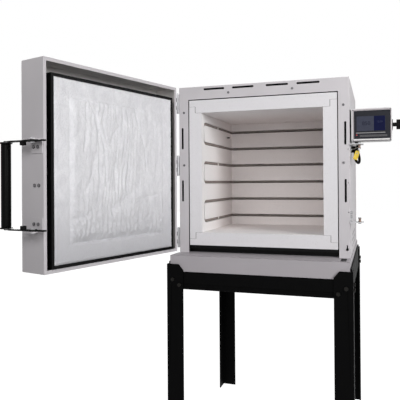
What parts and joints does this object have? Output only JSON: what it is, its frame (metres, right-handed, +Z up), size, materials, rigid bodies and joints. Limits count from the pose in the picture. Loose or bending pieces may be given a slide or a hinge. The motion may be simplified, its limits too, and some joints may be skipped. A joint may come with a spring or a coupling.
{
  "type": "bead annealing kiln",
  "caption": "Front-loading electric annealing kiln with a side-hinged insulated door, grooved element walls, a tilting touch controller and an angle-steel stand.",
  "frame": {"origin": "on the floor under the middle of the footprint, measured with the door standing open and without the controller's cable and the thermocouple plug on its lead", "axes": "+Z up, -Y towards the user in front of the chamber, +X towards the controller"},
  "size_m": [1.171, 1.2976, 1.3805],
  "materials": {
    "case_paint": "light grey powder coat with a fine texture",
    "stand_paint": "black powder coat",
    "black_steel": "satin black",
    "zinc_steel": "zinc plated",
    "brass_spool": "turned",
    "heat_sink_aluminium": "extruded",
    "fire_board": "rigid ceramic fibre board, sanded",
    "fibre_wool": "loose ceramic fibre",
    "fibre_blanket": "soft ceramic fibre blanket",
    "element_wire": "oxidised resistance wire",
    "ceramic": "unglazed ceramic",
    "black_rubber": "matte",
    "black_plastic": "moulded",
    "panel_black": "printed film",
    "screen_glass": "dark display glass",
    "controller_grey": "pale grey enclosure",
    "red_plastic": "moulded",
    "yellow_plastic": "moulded",
    "cable_jacket": "smooth black jacket",
    "lead_jacket": "woven sleeve, pale"
  },
  "bodies": {
    "case": {"back_board": "fire_board", "back_panel": "case_paint", "backup_wool": "fibre_wool", "base_feet": "black_rubber", "base_floor": "zinc_steel", "base_pan": "case_paint", "bottom_board": "fire_board", "cable_glands": "black_plastic", "case_shell": "case_paint", "controller_cable": "cable_jacket", "controller_yoke": "black_steel", "cross_rails": "stand_paint", "door_switch": "black_plastic", "element_lower": "element_wire", "element_middle": "element_wire", "element_pins": "ceramic", "element_upper": "element_wire", "face_screws": "zinc_steel", "front_frame": "case_paint", "hearth_support": "black_steel", "heat_sink": "heat_sink_aluminium", "hinge_leaves_case": "zinc_steel", "hinge_pins": "zinc_steel", "keeper_bolts": "zinc_steel", "keepers": "zinc_steel", "left_board": "fire_board", "leg_front_left": "stand_paint", "leg_front_right": "stand_paint", "leg_rear_left": "stand_paint", "leg_rear_right": "stand_paint", "rear_cover": "case_paint", "relay_module": "black_plastic", "right_board": "fire_board", "side_rails": "stand_paint", "stand_bolts": "black_steel", "terminal_blocks": "ceramic", "thermocouple": "ceramic", "thermocouple_lead": "lead_jacket", "thermocouple_plug": "yellow_plastic", "top_board": "fire_board"},
    "door": {"door_pan": "case_paint", "door_frame": "black_steel", "door_core": "fire_board", "door_blanket": "fibre_blanket", "hinge_leaves_door": "zinc_steel", "handle_brackets": "zinc_steel", "handle_pivots": "zinc_steel", "door_edge_bolts": "zinc_steel"},
    "handle": {"handle_arms": "black_steel", "handle_bar": "black_steel", "handle_bolts": "black_steel", "handle_bumpers": "black_rubber"},
    "spool_upper": {"spool_upper": "brass_spool"},
    "spool_lower": {"spool_lower": "brass_spool"},
    "controller": {"controller_housing": "controller_grey", "controller_panel": "panel_black", "controller_screen": "screen_glass", "controller_gland": "black_plastic"},
    "knob": {"tilt_knob": "black_plastic"},
    "button": {"power_button": "red_plastic"}
  },
  "joints": [
    {"name": "door_swing", "type": "hinge", "parent": "case", "child": "door", "pos_m": [-0.23003, -0.00069, 1.0625], "axis": [0, 0, -1], "range_deg": [-106, 74]},
    {"name": "handle_latch", "type": "hinge", "parent": "door", "child": "handle", "pos_m": [-0.43647, -0.63173, 1.0055], "axis": [0, 0, 1], "range_deg": [-16, 0]},
    {"name": "spool_upper_spin", "type": "hinge", "parent": "case", "child": "spool_upper", "pos_m": [0.44497, 0.00781, 1.1325], "axis": [0, 0, 1], "continuous": true},
    {"name": "spool_lower_spin", "type": "hinge", "parent": "case", "child": "spool_lower", "pos_m": [0.44497, 0.00781, 0.8785], "axis": [0, 0, 1], "continuous": true},
    {"name": "controller_tilt", "type": "hinge", "parent": "case", "child": "controller", "pos_m": [0.48597, 0.06381, 1.21175], "axis": [1, 0, 0], "range_deg": [-12, 20], "deforming": ["controller_cable"]},
    {"name": "knob_turn", "type": "hinge", "parent": "controller", "child": "knob", "pos_m": [0.57447, 0.06381, 1.21175], "axis": [1, 0, 0], "continuous": true},
    {"name": "button_press", "type": "slide", "parent": "controller", "child": "button", "axis": [0, 1, 0], "range_m": [0, 0.0008], "stiffness_N_per_m": 400}
  ]
}
